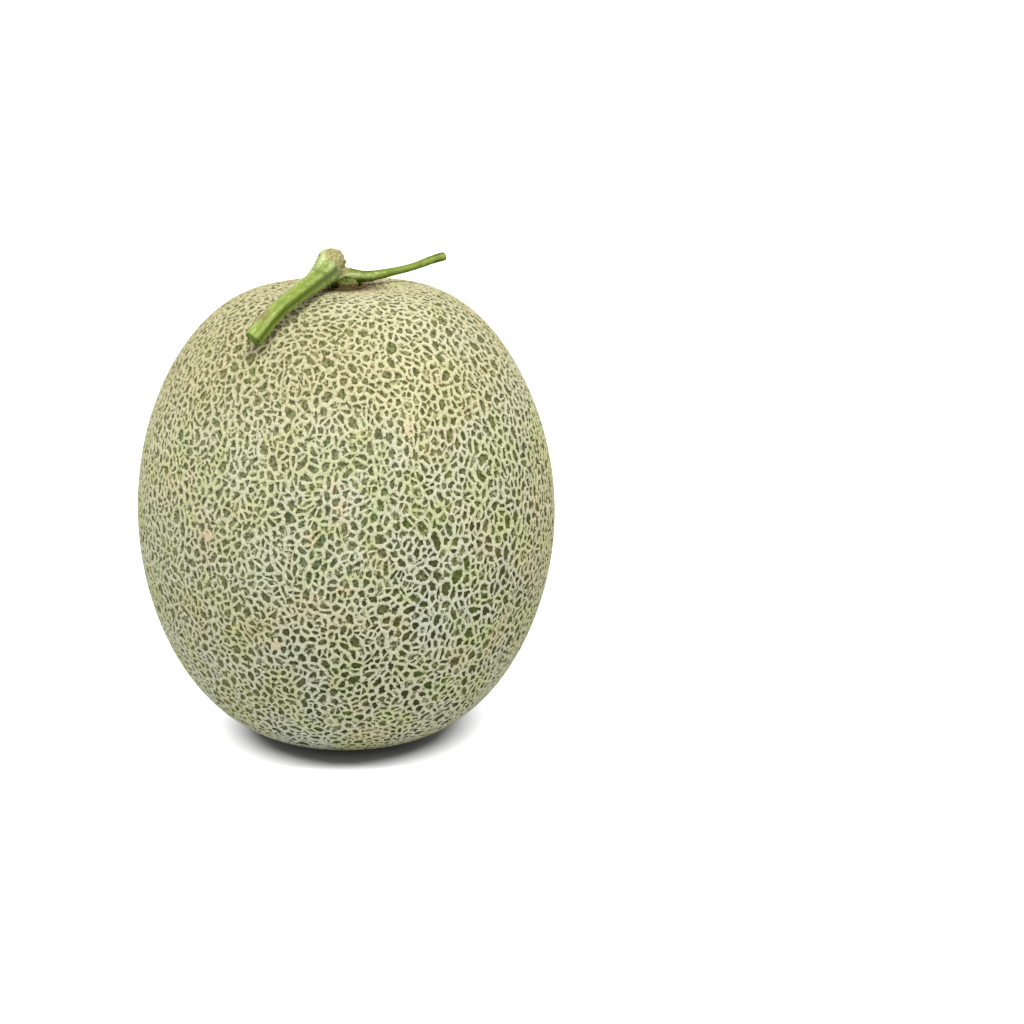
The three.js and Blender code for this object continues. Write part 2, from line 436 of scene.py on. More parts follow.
def makeRind():
    rng = random.Random(rind["seed"])
    bm = crackedNet(rng)
    halfLayer = bm.edges.layers.float["ridgeHalf"]
    netLayer = bm.verts.layers.float.new("netHeight")
    toneLayer = bm.verts.layers.float.new("cellTone")
    scarLayer = bm.verts.layers.float.new("scar")
    spots = scarSpots(rng)
    crests = bm.verts[:]
    plans = [planCell(cell, halfLayer, spots, rng) for cell in bm.faces]
    insetCells(bm, plans, "tops")
    openJunctions(bm, crests)
    for vert in bm.verts:
        vert[netLayer] = 1
        vert[toneLayer] = 0.5
        vert[scarLayer] = scarShare(vert.co, spots)
    opened = [plan for plan in plans if plan["open"]]
    insetCells(bm, opened, "feet")
    for plan in opened:
        for vert in plan["cell"].verts:
            vert[netLayer] = rind["footHeight"]
            vert[toneLayer] = plan["tone"]
    dipWideCells(bm, [plan["cell"] for plan in opened if plan["wide"]], netLayer, toneLayer)
    bmesh.ops.remove_doubles(bm, verts=bm.verts[:], dist=rind["mergeWithin"])
    for vert in bm.verts:
        vert.co *= mm
    piece = finishPiece(bm, "netted_rind")
    print("rind:", len(plans), "cells,", len(opened), "open,", countTriangles(piece), "triangles")
    return piece


# the rind's finish

rindColours = {
    # the crest colour is a painted highlight
    "netCream": "C9C398", "netPale": "BFC4B0", "netCrestHighlight": "E2E0BE", "netLight": "CAC79E",
    # the brown cork is painted shade on the far top of the fruit
    # the dull cork serves as painted limb shade, and as a greyer top-left crown
    "netGreen": "B6BE7C", "netWarm": "CBBB95", "netDullAndShade": "A9A177", "netBrownShade": "9A906A",
    "scarTan": "CFBE9E",
    "skinGrey": "47522C", "skinOlive": "524F1F", "skinGreen": "55671C", "skinDeep": "1E2306",
    "skinPale": "8C8D5A", "skinWarm": "8A7F4C", "skinCool": "7F8A74",
    # the basin's brown cork is darkened with painted shade from the stem above it
    "basinShadedTan": "77694E", "basinShadedDark": "3E3220", "blossomTan": "9A8A66",
}
rindNoises = {  # size in mm, detail and roughness
    "zones": (40, 1, 0.5), "patches": (13, 2, 0.5), "warmSpots": (18, 1, 0.5), "greenSpots": (12, 1, 0.5),
    "mottle": (1.1, 3, 0.6),  # about the width of a cord, so that its edges wander
    "grain": (0.5, 3, 0.6),  # cork's own grain is nearer 0.1 mm, too fine to show
}
rindMarks = {  # gaps in mm, and what the rises name in metres
    # the second direction points to the far top, where the cork is browned as painted shade
    "paleSide": (-0.6, -0.1, 0.75), "shadedCrownSide": (0.12, 0.6, 0.79),  # directions out from the foot
    # painted limb shade: the cork greyed on both shoulders and down the right side
    "limbShadePlaces": [[("across", -0.003, -0.042, (0, 0.8)), ("level", 0.11, 0.14)],
                   [("across", 0.02, 0.05, (0, 0.5)), ("level", 0.11, 0.135)],
                   [("across", 0.035, 0.075, (0, 0.6))]],
    "green": [("greenSpots", 0.46, 0.6, (0, 0.75)), ("level", 0.14, 0.11)], "greenOnNet": 0.55,
    "greenPatch": [("patches", 0.56, 0.68, (0, 0.65))],
    "netEdge": (-0.08, 0.82), "wobble": (-0.55, 1.2),  # where floor turns to cork, by height
    "bend": 1.1, "youngGap": 2.1, "poreGap": 2.4,  # real pores are closer, but wouldn't show
    "young": [("youngCells", 0.14, 0.04), ("youngShare", 0.84, 0.96, (0, 0.8))],
    "basinRagged": 12, "blossomRagged": 20,
    "basin": [("basinEdge", 0.0185, 0.0095), ("level", 0.1, 0.12)],
    "bumpHeight": 0.25, "bumpStrength": 0.35, "roughness": (0.5, 0.82),  # of the skin and of the cork
}
netTints = [
    ("netCream", ("zones", 0.4, 0.62)),
    ("netPale", ("level", 0.12, 0.07, (0, 0.65))),
    ("netPale", ("across", 0.02, -0.03, (0, 0.4))),
    # painted limb shade on the shoulders and the right side
    ("netDullAndShade", ("limbShade",)),
    # painted shade: browner cork along the far top crown
    ("netBrownShade", ("shadedCrownSide", 0.108, 0.124, (0, 0.9))),
    ("netLight", ("paleSide", 0, 0.14, (0, 0.6))),
    ("netGreen", ("greenNet",)),
    ("scarTan", ("scar", 0.8)),
    ("netWarm", ("warmSpots", 0.55, 0.72, (0, 0.4))),
    ("netWarm", ("level", 0.11, 0.145, (0, 0.3)), ("across", 0.04, 0.01)),
    ("netDullAndShade", ("level", 0.12, 0.146, (0, 0.35)), ("across", 0.03, -0.01)),
    # painted highlight on the tops of the cords
    ("netCrestHighlight", ("height", 1.1, 1.9, (0, 0.3))),
    ("skinOlive", ("grain", 0.7, 0.3, (0, 0.3))),
    # brown cork round the stalk, darkened as painted shade under the stem
    ("basinShadedTan", ("basin",)),
]
skinTints = [
    ("skinOlive", ("zones", 0.4, 0.62)),
    ("skinGreen", ("cellTone", 0.25, 0.1, (0, 0.8))),
    ("skinPale", ("cellTone", 0.45, 0.8, (0, 0.85))),
    ("skinDeep", ("cellTone", 0.45, 0.2, (0, 0.75))),
    ("skinGreen", ("patches", 0.56, 0.68, (0, 0.8))),
    ("skinGreen", ("green",)),
    ("skinDeep", ("patches", 0.46, 0.34, (0, 0.6))),
    ("skinPale", ("level", 0.09, 0.13, (0, 0.55)), ("across", 0.03, 0, (0.5, 1))),
    ("skinDeep", ("level", 0.1, 0.06, (0, 0.5)), ("level", 0.02, 0.045),
     ("across", -0.04, -0.02), ("across", 0.04, 0.02)),
    ("skinPale", ("across", -0.01, -0.05, (0, 0.45))),
    ("skinOlive", ("across", 0.035, 0.07, (0, 0.6))),
    ("skinPale", ("paleSide", 0, 0.14, (0, 0.8))),
    ("skinWarm", ("warmSpots", 0.55, 0.72, (0, 0.4))),
    ("skinCool", ("level", 0.14, 0.12), ("level", 0.055, 0.08), ("across", 0.03, 0, (0, 0.3))),
    ("skinDeep", ("mottle", 0.6, 0.38, (0, 0.68))),
    # painted shade: darker floor next to the foot of each cord, less in the middle of wide cells
    ("skinDeep", ("height", -0.4, 0.3, (0.1, 0.35))),
    # brown cork round the stalk, darkened as painted shade under the stem
    ("basinShadedDark", ("basin",)),
]
overBoth = [
    ("skinOlive", ("poreCells", 0.3, 0.17, (0, 0.85)), ("net",)),
    ("blossomTan", ("blossomEdge", 0.0125, 0.006, (0, 0.85)), ("level", 0.05, 0.03)),
]


def sideFields(tree, fields):  # how far a spot is towards two sides, and out from the axis
    for side in ("paleSide", "shadedCrownSide"):
        fields[side] = addNode(tree, "ShaderNodeVectorMath", {
            "operation": "DOT_PRODUCT", 1: rindMarks[side]}, {0: fields["place"]}).outputs["Value"]
    flat = addNode(tree, "ShaderNodeVectorMath", {
        "operation": "MULTIPLY", 1: (1, 1, 0)}, {0: fields["place"]}).outputs[0]
    fields["outward"] = addNode(tree, "ShaderNodeVectorMath", {
        "operation": "LENGTH"}, {0: flat}).outputs["Value"]


def netFields(tree, fields):  # the ragged cords, the fine young ones across some floors, and pores
    wobbling = shareWhere(tree, fields, [("mottle", 0.32, 0.68, rindMarks["wobble"])])
    fields["height"] = addNode(tree, "ShaderNodeMath", {
        "operation": "ADD"}, {0: wobbling, 1: fields["netHeight"]}).outputs[0]
    swirl = addNode(tree, "ShaderNodeTexNoise", {
        "Scale": 1 / (rindNoises["mottle"][0] * mm), "Detail": 2}, {
        "Vector": fields["place"]}).outputs["Color"]
    bent = addNode(tree, "ShaderNodeVectorMath", {
        "operation": "MULTIPLY_ADD", 1: (rindMarks["bend"] * mm,) * 3}, {
        0: swirl, 2: fields["place"]}).outputs[0]
    for name, gap, feature in (("youngCells", rindMarks["youngGap"], "DISTANCE_TO_EDGE"),
                               ("poreCells", rindMarks["poreGap"], "F1")):
        fields[name] = addNode(tree, "ShaderNodeTexVoronoi", {
            "feature": feature, "Scale": 1 / (gap * mm)}, {"Vector": bent}).outputs[0]
    fields["youngShare"] = madeUneven(tree, fields["cellTone"], fields["mottle"], 1)
    cords = shareWhere(tree, fields, [("height", *rindMarks["netEdge"])])
    fields["net"] = largestOf(tree, [cords, shareWhere(tree, fields, rindMarks["young"])])


def tintFields(tree, fields):  # shares that more than one tint uses, or that come from several places
    for name, ragged in (("basinEdge", "basinRagged"), ("blossomEdge", "blossomRagged")):
        fields[name] = madeUneven(tree, fields["outward"], fields["mottle"], rindMarks[ragged] * mm)
    fields["basin"] = shareWhere(tree, fields, rindMarks["basin"])
    # painted limb shade, the largest of its three places
    fields["limbShade"] = largestOf(tree, [shareWhere(tree, fields, rises) for rises in rindMarks["limbShadePlaces"]])
    fields["green"] = shareWhere(tree, fields, rindMarks["green"])
    fields["greenNet"] = largestOf(tree, [shareWhere(tree, fields, [("green", rindMarks["greenOnNet"])]),
                                          shareWhere(tree, fields, rindMarks["greenPatch"])])


def rindMaterial():
    # a netted melon's rind: dry matt cork cords grown over a faintly waxy green skin
    material, tree = newMaterial("netted melon rind")
    fields = surfaceFields(tree, rindNoises, ("netHeight", "cellTone", "scar"))
    sideFields(tree, fields)
    netFields(tree, fields)
    tintFields(tree, fields)
    skin = painted(tree, fields, rindColours, "skinGrey", skinTints)
    cork = painted(tree, fields, rindColours, "netPale", netTints)
    both = addNode(tree, "ShaderNodeMix", {"data_type": "RGBA"}, {0: fields["net"], 6: skin, 7: cork})
    colour = painted(tree, fields, rindColours, both.outputs[2], overBoth)
    roughness = shareWhere(tree, fields, [("net", 0, 1, rindMarks["roughness"])])
    bump = addNode(tree, "ShaderNodeBump", {
        "Strength": rindMarks["bumpStrength"], "Distance": rindMarks["bumpHeight"] * mm}, {
        "Height": fields["grain"]})
    shader = addNode(tree, "ShaderNodeBsdfPrincipled", {"IOR": 1.45, "Specular IOR Level": 0.15}, {
        "Base Color": colour, "Roughness": roughness, "Normal": bump.outputs[0]})
    addNode(tree, "ShaderNodeOutputMaterial", links={"Surface": shader.outputs[0]})
    return material


# the stem: a thick length of vine, a thin branch, the stalk under them and the corky knob, in mm

stemRoutes = {  # radii are evenly spaced along a route; ribTone is how light it is, and how much ribs add
    "vine": {
        "route": [(-4.6, -1.5, 168.4), (-6.6, -16, 166.9), (-9.9, -28, 165.4), (-14.5, -36, 162.7),
                  (-20.4, -41.3, 158), (-26.9, -46.3, 150.4)],
        "radii": (4.9, 4.1, 3.4, 3.0, 2.9, 3.25), "sides": 60, "recess": 0.9,
        "ribs": 6, "ribDepth": 0.07, "firstRib": -96, "twist": (14, 34), "ribTone": (0.78, 0.22),
        "keyGroove": -66, "grooveWidth": 24,
    },
    "branch": {
        "route": [(-7.2, -8.5, 164.4), (-3.6, -3.4, 164.9), (0.2, -0.6, 165.2), (4.2, 1.9, 164.6),
                  (8.5, 4.6, 164.2), (16, 8, 165.1), (23.5, 11, 166.5), (30, 13.2, 168.6),
                  (35.3, 14.7, 170.0)],
        "radii": (2.5, 2.8, 2.9, 2.15, 1.7, 1.42, 1.35, 1.5, 1.65), "sides": 40, "recess": 0.25,
        "ribs": 3, "ribDepth": 0.06, "firstRib": 78, "twist": (0, 0), "ribTone": (0.4, 0.5),
    },
    "stalk": {
        "route": [(0, 0, poleZ - 1.2), (0, 0, poleZ + 0.8), (-1.2, -0.5, poleZ + 3), (-4, -1.6, poleZ + 7)],
        "radii": (5.8, 4.4, 3.2, 3.6), "sides": 40, "recess": 0.1,
        # the stalk's low tone is painted shade under the vine and the branch
        "ribs": 5, "ribDepth": 0.05, "firstRib": 0, "twist": (0, 0), "ribTone": (0.05, 0.3),
    },
}
rods = {  # what all three share, in mm or as shares of a route
    "seed": 71, "stationGap": 0.4, "spanSteps": 40, "rimWidth": 0.2, "endRounding": 0.22, "roundedOver": 1.1,
    "twistFrom": 0.35, "twistTo": 0.85, "voxel": 0.3, "smoothing": 2,
    "fibreStretch": 0.12, "nearby": 60, "grooveWider": 0.8, "widerFrom": 12, "widerTo": 5,
    "grooveStarts": (1, 5), "cutFrom": 1.3, "cutTo": 0.5, "cutFacing": (0.3, 0.7),
}
knob = {
    "at": (-4.1, -0.8, 170.4), "radii": (4.8, 4.8, 4.3), "lump": 0.32, "lumpSize": 1.3,
    "corkyWay": (0.78, -0.26, 0.57), "swollenFacing": (-0.1, 0.5), "swollen": (0.35, 0.9),
    "corkFacing": (-0.05, 0.55), "corkFrom": 9.2, "corkTo": 5.6,
    "shoulderAt": (-4, -5.4, 172), "shoulderSize": 5.5, "shoulderSmoothing": 90,
}
collar = {
    "radius": 6.9, "thick": 1.2, "atZ": poleZ - 0.3, "lumpSize": 1.3, "lump": 0.5,
    # the higher top on the stalk is painted shade under the vine and the branch
    "footTop": poleZ + 1.2, "stalkFootTop": poleZ + 3.0, "footFades": 0.6, "footEnd": (12, 10),
}
nub = {
    "base": (-0.2, 1, 167.2), "tip": (0.9, 2, 170.3), "radii": (0.85, 0.5), "driedFrom": 2.4, "driedTo": 1.2,
}
flaws = {
    # the slit is cut in and painted with shade; the fork of vine and branch below the knob is only painted
    # shade in deep green
    "slitFrom": (-3.0, -5.2, 168.6), "slitTo": (-1.0, -5.0, 169.3), "slitWidth": 0.55, "slitDepth": 0.9,
    "shadedCrotchFrom": (-6, -6.2, 166.6), "shadedCrotchTo": (0.4, -3.8, 167.4), "shadedCrotchSize": 2.4, "shadedCrotchCore": 0.5,
    "bruiseAt": (-23.6, -43.4, 158.8), "bruiseSize": 4.5, "bruiseCore": 1,
    "roughSize": 0.9, "roughSkin": 0.05, "roughCork": 0.3, "roughFoot": 0.5,
}
stemLayers = ("rib", "groove", "cork", "cut", "hair", "foot", "bruise")  # marked on the mesh, for the tints
bristles = {
    "count": 620, "onVine": 0.8, "length": (0.35, 0.8), "branchLength": 0.6, "radius": 0.09,
    "thickestAt": 0.42, "spread": 0.22, "branchFrom": 0.12, "last": 0.97,  # shares of the way along
    "rootedAt": 0.97, "clearOfGroove": 1.5, "leanAlong": (-0.5, 0.7), "leanAside": (-0.3, 0.3),
}


def smoothRoute(ends):  # close spots on a smooth curve through all the ends
    points = [Vector(point) for point in [ends[0], *ends, ends[-1]]]
    points[0] = points[1] * 2 - points[2]
    points[-1] = points[-2] * 2 - points[-3]
    fine = []
    for a, b, c, d in zip(points, points[1:], points[2:], points[3:]):
        for step in range(rods["spanSteps"]):
            t = step / rods["spanSteps"]
            fine.append((b * 2 + (c - a) * t + (a * 2 - b * 5 + c * 4 - d) * t ** 2
                         + (b * 3 - a - c * 3 + d) * t ** 3) / 2)
    fine.append(points[-2])
    return fine


def routeStations(part):  # evenly spaced spots along a route, each with its frame, radius and distance
    fine = smoothRoute(part["route"])
    stations = []
    length = sum((q - p).length for p, q in zip(fine, fine[1:]))
    count = max(2, round(length / rods["stationGap"]))
    walked, index = 0, 0
    for number in range(count + 1):
        goal = length * number / count
        while index < len(fine) - 2 and walked + (fine[index + 1] - fine[index]).length < goal:
            walked += (fine[index + 1] - fine[index]).length
            index += 1
        ahead = fine[index + 1] - fine[index]
        centre = fine[index] + ahead.normalized() * (goal - walked)
        forward = ahead.normalized()
        reference = Vector((0, 0, 1)) if abs(forward.z) < 0.8 else Vector((0, -1, 0))
        side = forward.cross(reference).normalized()
        upward = side.cross(forward)
        place = number / count * (len(part["radii"]) - 1)
        first = min(int(place), len(part["radii"]) - 2)
        radius = part["radii"][first] + (part["radii"][first + 1] - part["radii"][first]) * (place - first)
        stations.append((centre, forward, upward, side, radius, goal))
    return stations


def twisted(part, turn, share):  # the turn round a route, less the twist that its ribs have there
    start, end = part["twist"]
    return turn + math.radians(start + (end - start) * fade(share, rods["twistFrom"], rods["twistTo"]))


def ribShare(part, turn):  # 1 on a rib, -1 in the groove beside it
    return math.cos(part["ribs"] * (turn - math.radians(part["firstRib"])))


def fromGroove(part, turn):  # how many groove widths a turn is from the deep groove along the vine
    return (math.degrees(turn) - part["keyGroove"]) / part["grooveWidth"]


def joinInto(bm, other):
    mesh = bpy.data.meshes.new("joined")
    other.to_mesh(mesh)
    other.free()
    bm.from_mesh(mesh)
    bpy.data.meshes.remove(mesh)


def addRod(bm, part, stations):  # a straight rod with dished ends, bent along its route
    rod = bmesh.new()
    bmesh.ops.create_cone(rod, cap_ends=True, segments=part["sides"], radius1=1, radius2=1, depth=1)
    sides = [edge for edge in rod.edges if edge.verts[0].co.z * edge.verts[1].co.z < 0]
    caps = [face for face in rod.faces if len(face.verts) == part["sides"]]
    total = stations[-1][5]
    bmesh.ops.inset_individual(rod, faces=caps, thickness=rods["rimWidth"])
    for cap in caps:
        for vert in cap.verts:
            vert.co.z -= math.copysign(part["recess"] / total, vert.co.z)
    bmesh.ops.subdivide_edges(rod, edges=sides, cuts=len(stations) - 2, use_grid_fill=True)
    for vert in rod.verts:
        share = min(max(vert.co.z + 0.5, 0), 1)
        centre, _, upward, side, radius, _ = stations[round(share * (len(stations) - 1))]
        turn = math.atan2(vert.co.y, vert.co.x)
        radius *= 1 - rods["endRounding"] * fade(share, 1 - rods["roundedOver"] / total, 1)
        radius *= math.hypot(vert.co.x, vert.co.y) * (
            1 + part["ribDepth"] * ribShare(part, twisted(part, turn, share)))
        vert.co = centre + (upward * math.cos(turn) + side * math.sin(turn)) * radius
    bmesh.ops.recalc_face_normals(rod, faces=rod.faces[:])
    joinInto(bm, rod)


def addKnob(bm):  # a ball swollen by a rough noise and three slow waves, most where it is corky
    ball = bmesh.ops.create_icosphere(bm, subdivisions=5, radius=1)["verts"]
    for vert in ball:
        lump = noise.fractal(vert.co * (4.5 / knob["lumpSize"]), 0.9, 2.0, 3)
        lump += 0.6 * math.sin(5 * vert.co.x + 1) * math.sin(5 * vert.co.y) * math.sin(4 * vert.co.z + 2)
        corky = fade(vert.co.dot(Vector(knob["corkyWay"])), *knob["swollenFacing"])
        grown = knob["lump"] * lump * (knob["swollen"][0] + knob["swollen"][1] * corky)
        vert.co = Vector([middle + way * (radius + grown) for middle, way, radius in zip(
            knob["at"], vert.co, knob["radii"])])


def addCollar(bm):  # a lumpy ring of cork where the stalk leaves the fruit
    ring = bmesh.new()
    bmesh.ops.create_circle(ring, segments=20, radius=collar["thick"])
    bmesh.ops.rotate(ring, verts=ring.verts[:], matrix=Matrix.Rotation(math.radians(90), 3, "X"))
    bmesh.ops.translate(ring, verts=ring.verts[:], vec=(collar["radius"], 0, collar["atZ"]))
    bmesh.ops.spin(ring, geom=ring.verts[:] + ring.edges[:], cent=(0, 0, 0), axis=(0, 0, 1), steps=72,
                   angle=math.tau, use_merge=True)
    bmesh.ops.recalc_face_normals(ring, faces=ring.faces[:])
    for vert in ring.verts:
        vert.co += vert.normal * collar["lump"] * noise.fractal(vert.co / collar["lumpSize"], 0.9, 2.0, 2)
    joinInto(bm, ring)


def addNub(bm):  # the dried end of a side shoot
    base, tip = Vector(nub["base"]), Vector(nub["tip"])
    way = (tip - base).to_track_quat("Z", "Y").to_matrix().to_4x4()
    bmesh.ops.create_cone(bm, cap_ends=True, segments=12, radius1=nub["radii"][0], radius2=nub["radii"][1],
                          depth=(tip - base).length, matrix=Matrix.Translation((base + tip) / 2) @ way)


def remeshed(piece):  # fuses what overlaps into one smooth closed skin
    for kind, settings in (("REMESH", {"mode": "VOXEL", "voxel_size": rods["voxel"]}),
                           ("SMOOTH", {"factor": 0.5, "iterations": rods["smoothing"]})):
        modifier = piece.modifiers.new(kind.title(), kind)
        for name, value in settings.items():
            setattr(modifier, name, value)
    evaluated = piece.evaluated_get(bpy.context.evaluated_depsgraph_get())
    fused = bpy.data.meshes.new_from_object(evaluated)
    bpy.data.objects.remove(piece)
    bm = bmesh.new()
    bm.from_mesh(fused)
    bpy.data.meshes.remove(fused)
    return bm


def smoothShoulder(bm):  # evens out the step where the vine leaves the knob
    middle = Vector(knob["shoulderAt"])
    shoulder = [vert for vert in bm.verts if (vert.co - middle).length < knob["shoulderSize"]]
    for _ in range(knob["shoulderSmoothing"]):
        bmesh.ops.smooth_vert(bm, verts=shoulder, factor=0.5,
                              use_axis_x=True, use_axis_y=True, use_axis_z=True)


def addBristles(bm, routes, rng):  # short stiff hairs, thickest on the vine below the knob
    planted = 0
    while planted < bristles["count"]:
        onVine = rng.random() < bristles["onVine"]
        name = "vine" if onVine else "branch"
        part, stations = stemRoutes[name], routes[name]
        if onVine:
            share = min(abs(rng.gauss(bristles["thickestAt"], bristles["spread"])), bristles["last"])
        else:
            share = rng.uniform(bristles["branchFrom"], bristles["last"])
        centre, forward, upward, side, radius, _ = stations[int(share * (len(stations) - 1))]
        turn = rng.uniform(-math.pi, math.pi)
        if onVine and abs(fromGroove(part, twisted(part, turn, share))) < bristles["clearOfGroove"]:
            continue
        planted += 1
        outward = upward * math.cos(turn) + side * math.sin(turn)
        length = rng.uniform(*bristles["length"]) * (1 if onVine else bristles["branchLength"])
        root = centre + outward * radius * bristles["rootedAt"]
        lean = outward + forward * rng.uniform(*bristles["leanAlong"])
        lean = (lean + side * rng.uniform(*bristles["leanAside"])).normalized()
        way = lean.to_track_quat("Z", "Y").to_matrix().to_4x4()
        bmesh.ops.create_cone(bm, cap_ends=True, segments=3, radius1=bristles["radius"], radius2=0,
                              depth=length, matrix=Matrix.Translation(root + lean * length / 2) @ way)


def fromSegment(spot, start, end):  # how far a spot is from a straight line between two others
    share = min(max((spot - start).dot(end - start) / (end - start).length_squared, 0), 1)
    return (spot - start.lerp(end, share)).length


def stationFinder(routes):  # finds the rod station that a spot belongs to, weighed by the rod's radius
    spots = [(name, station) for name, stations in routes.items() for station in stations]
    tree = kdtree.KDTree(len(spots))
    for number, (_, station) in enumerate(spots):
        tree.insert(station[0], number)
    tree.balance()

    def nearest(spot):
        near = tree.find_n(spot, rods["nearby"])
        _, number, _ = min(near, key=lambda found: found[2] / spots[found[1]][1][4])
        return spots[number]

    return nearest


def markRod(vert, layers, name, station, total):  # what the colours follow along a rod
    centre, forward, upward, side, radius, walked = station
    part = stemRoutes[name]
    away = vert.co - centre
    turn = twisted(part, math.atan2(away.dot(side), away.dot(upward)), walked / total)
    tone, change = part["ribTone"]
    vert[layers["rib"]] = tone + change * ribShare(part, turn)
    vert[layers["fibre"]] = Vector((
        math.cos(turn) * radius, math.sin(turn) * radius, walked * rods["fibreStretch"]))
    if name == "vine":
        wider = 1 + rods["grooveWider"] * fade(walked, rods["widerFrom"], rods["widerTo"])
        deep = math.exp(-(fromGroove(part, turn) / wider) ** 2)
        vert[layers["groove"]] = deep * fade(walked, *rods["grooveStarts"])
    if name != "stalk":
        nearEnd = fade(total - walked, rods["cutFrom"], rods["cutTo"])
        vert[layers["cut"]] = nearEnd * fade(vert.normal.dot(forward), *rods["cutFacing"])


def markKnob(vert, layers):  # cork on the knob's side, and the bruise and the dried nub
    fromKnob = vert.co - Vector(knob["at"])
    facing = fromKnob.normalized().dot(Vector(knob["corkyWay"]).normalized())
    nearKnob = fade(fromKnob.length, knob["corkFrom"], knob["corkTo"])
    vert[layers["cork"]] = fade(facing, *knob["corkFacing"]) * nearKnob
    fromBruise = (vert.co - Vector(flaws["bruiseAt"])).length
    fromNub = (vert.co - Vector(nub["tip"])).length
    vert[layers["bruise"]] = max(fade(fromBruise, flaws["bruiseSize"], flaws["bruiseCore"]),
                                 fade(fromNub, nub["driedFrom"], nub["driedTo"]))


def markFoot(vert, layers, name):  # cork round the foot of the stalk, carried higher up the stalk itself as painted shade under the vine and the branch
    top = collar["stalkFootTop"] if name == "stalk" else collar["footTop"]
    within = fade(math.hypot(*vert.co.xy), *collar["footEnd"])
    vert[layers["foot"]] = fade(vert.co.z, top, top - collar["footFades"]) * within


def carve(vert, layers):  # the slit under the knob, with painted shade in it and in the fork of vine and branch below the knob, and a rough skin
    slit = Vector(flaws["slitFrom"]), Vector(flaws["slitTo"])
    shadedCrotch = Vector(flaws["shadedCrotchFrom"]), Vector(flaws["shadedCrotchTo"])
    inSlit = fade(fromSegment(vert.co, *slit), 2 * flaws["slitWidth"], 0.4 * flaws["slitWidth"])
    vert.co -= vert.normal * inSlit * flaws["slitDepth"]
    inShadedCrotch = fade(fromSegment(vert.co, *shadedCrotch), flaws["shadedCrotchSize"], flaws["shadedCrotchCore"])
    # painted shade: the slit and the fork darken like the vine's groove
    vert[layers["groove"]] = max(vert[layers["groove"]], inSlit, inShadedCrotch)
    rough = noise.fractal(vert.co / flaws["roughSize"], 0.8, 2.1, 3)
    vert.co += vert.normal * rough * (flaws["roughSkin"] + flaws["roughCork"] * vert[layers["cork"]]
                                      + flaws["roughFoot"] * vert[layers["foot"]])


def makeStem():
    rng = random.Random(rods["seed"])
    routes = {name: routeStations(part) for name, part in stemRoutes.items()}
    bm = bmesh.new()
    for name, part in stemRoutes.items():
        addRod(bm, part, routes[name])
    addKnob(bm)
    addCollar(bm)
    addNub(bm)
    bm = remeshed(finishPiece(bm, "stem_rough"))
    smoothShoulder(bm)
    layers = {name: bm.verts.layers.float.new(name) for name in stemLayers}
    layers["fibre"] = bm.verts.layers.float_vector.new("fibre")
    nearest = stationFinder(routes)
    fused = bm.verts[:]
    for vert in fused:
        name, station = nearest(vert.co)
        markRod(vert, layers, name, station, routes[name][-1][5])
        markKnob(vert, layers)
        markFoot(vert, layers, name)
        carve(vert, layers)
    addBristles(bm, routes, rng)
    for vert in bm.verts[len(fused):]:
        vert[layers["hair"]] = 1
    for vert in bm.verts:
        vert.co *= mm
    piece = finishPiece(bm, "vine_stem")
    print("stem:", bristles["count"], "bristles,", countTriangles(piece), "triangles")
    return piece


# the stem's finish

stemColours = {
    # the pale green is partly a painted highlight near the knob
    "deep": "45580B", "middle": "788B30", "light": "9FB061", "paleAndHighlight": "D0D69A", "hair": "D2DAA6",
    # the pith colours are darkened as painted shade on the cut ends
    "shadedPithPale": "60742F", "shadedPithEdge": "2F440E", "corkPale": "AAA574", "corkDark": "766F42",
    # the foot's dark brown is painted shade on its cork
    "footShadedBrown": "4A3D1E", "footTan": "776F42", "bruise": "7A6238",
}
stemNoises = {"blotches": (6, 2, 0.5), "fine": (0.7, 3, 0.6)}  # size in mm, detail and roughness
stemMarks = {  # sizes in mm, and what the rises name in metres, or in mm across the fibres
    "streak": 0.35, "streakShare": 2.0, "fleckGap": 1.1, "fleckSquash": (1, 1, 3), "footRagged": 4,
    # below the first level the foot's cork is dark brown as painted shade under the collar
    "footShadedBrownTo": (poleZ + 0.9) * mm, "footTanFrom": (poleZ + 2.6) * mm, "corkRagged": 1.6,
    "bumpHeight": 0.3, "bumpStrength": 0.4, "roughness": (0.48, 0.85),  # of green skin and of dry cork
}
greenTints = [
    ("middle", ("ribs", -0.1, 0.5)),
    ("light", ("ribs", 0.5, 1.3)),
    ("light", ("blotches", 0.55, 0.72, (0, 0.4))),
    ("deep", ("blotches", 0.5, 0.36, (0, 0.5))),
    ("middle", ("along", 2.5, 3.7, (0, 0.6)), ("along", 5.7, 4.5)),
    # paler rib tops near the knob, partly painted highlight
    ("paleAndHighlight", ("fromKnob", 0.019, 0.007, (0, 0.75)), ("ribs", 0.5, 1)),
    # the vine's deep green groove, with painted shade in the slit and the fork below the knob
    ("deep", ("groove", 0.9)),
    ("hair", ("fleckCells", 0.34, 0.12, (0, 0.5)), ("groove", 0.5, 0), ("blotches", 0.4, 0.6)),
]
overGreen = [
    # the foot's cork, dark low down as painted shade
    ("knobCork", ("corky",)),
    ("shadedFootCork", ("foot",)),
    ("bruise", ("bruise",), ("fine", 0.4, 0.6, (0.5, 0.9))),
    # the cut ends' pith, darkened as painted shade
    ("shadedPith", ("cut",)),
    ("hair", ("hair",)),
]


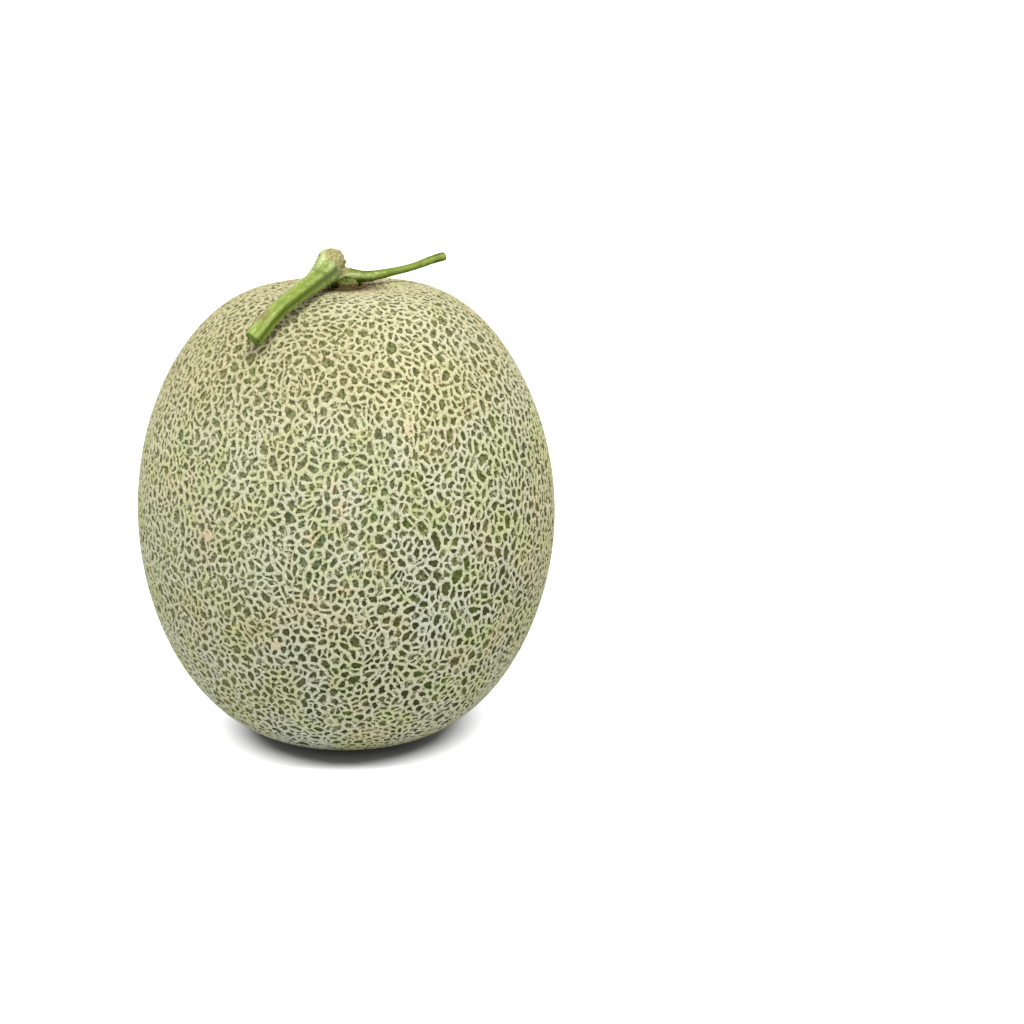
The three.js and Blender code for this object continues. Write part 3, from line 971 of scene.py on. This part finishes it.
def stemFields(tree):
    fields = surfaceFields(tree, stemNoises, stemLayers)
    fibre = addNode(tree, "ShaderNodeAttribute", {"attribute_name": "fibre"}).outputs["Vector"]
    streaks = addNode(tree, "ShaderNodeTexNoise", {
        "Scale": 1 / stemMarks["streak"], "Detail": 3, "Roughness": 0.6}, {"Vector": fibre}).outputs[0]
    squashed = addNode(tree, "ShaderNodeVectorMath", {
        "operation": "MULTIPLY", 1: stemMarks["fleckSquash"]}, {0: fibre}).outputs[0]
    fields["fleckCells"] = addNode(tree, "ShaderNodeTexVoronoi", {
        "feature": "F1", "Scale": 1 / stemMarks["fleckGap"]}, {"Vector": squashed}).outputs[0]
    fields["streaks"] = streaks
    fields["ribs"] = madeUneven(tree, fields["rib"], streaks, stemMarks["streakShare"])
    fields["along"] = addNode(tree, "ShaderNodeSeparateXYZ", links={0: fibre}).outputs["Z"]
    fields["fromKnob"] = addNode(tree, "ShaderNodeVectorMath", {
        "operation": "DISTANCE", 1: tuple(Vector(knob["at"]) * mm)}, {0: fields["place"]}).outputs["Value"]
    fields["footLevel"] = madeUneven(tree, fields["level"], fields["fine"], stemMarks["footRagged"] * mm)
    ragged = madeUneven(tree, fields["cork"], streaks, stemMarks["corkRagged"])
    fields["corkEdge"] = madeUneven(tree, ragged, fields["fine"], stemMarks["corkRagged"])
    fields["corky"] = shareWhere(tree, fields, [("corkEdge", 0.2, 0.8)])
    fields["dry"] = largestOf(tree, [fields["foot"], fields["corky"]])
    return fields


def stemMaterial():
    # a fresh-cut melon vine: juicy ribbed green skin, dry flaky cork on the node and round the foot
    material, tree = newMaterial("green melon vine")
    fields = stemFields(tree)
    grown = {
        "knobCork": painted(tree, fields, stemColours, "corkDark", [("corkPale", ("fine", 0.35, 0.62))]),
        # the foot's cork: tan above, dark brown below as painted shade under the collar
        "shadedFootCork": painted(tree, fields, stemColours, "footShadedBrown", [
            ("footTan", ("footLevel", stemMarks["footShadedBrownTo"], stemMarks["footTanFrom"]))]),
        # the cut ends' pith, darkened as painted shade
        "shadedPith": painted(tree, fields, stemColours, "shadedPithEdge", [("shadedPithPale", ("fine", 0.4, 0.6))]),
    }
    green = painted(tree, fields, stemColours, "deep", greenTints)
    colour = painted(tree, fields, {**stemColours, **grown}, green, overGreen)
    roughness = shareWhere(tree, fields, [("dry", 0, 1, stemMarks["roughness"])])
    height = addNode(tree, "ShaderNodeMath", {"operation": "MULTIPLY_ADD"}, {
        0: fields["fine"], 1: fields["dry"], 2: fields["streaks"]}).outputs[0]
    bump = addNode(tree, "ShaderNodeBump", {
        "Strength": stemMarks["bumpStrength"], "Distance": stemMarks["bumpHeight"] * mm}, {"Height": height})
    shader = addNode(tree, "ShaderNodeBsdfPrincipled", {"IOR": 1.4, "Specular IOR Level": 0.25}, {
        "Base Color": colour, "Roughness": roughness, "Normal": bump.outputs[0]})
    addNode(tree, "ShaderNodeOutputMaterial", links={"Surface": shader.outputs[0]})
    return material


placeCamera()
makeRoom()
hangLamps(makeFloor())
rindPiece = makeRind()
rindPiece.data.materials.append(rindMaterial())
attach(rindPiece, "root")
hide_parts("fruit")
stemPiece = makeStem()
stemPiece.data.materials.append(stemMaterial())
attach(stemPiece, "root")
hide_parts("stem")
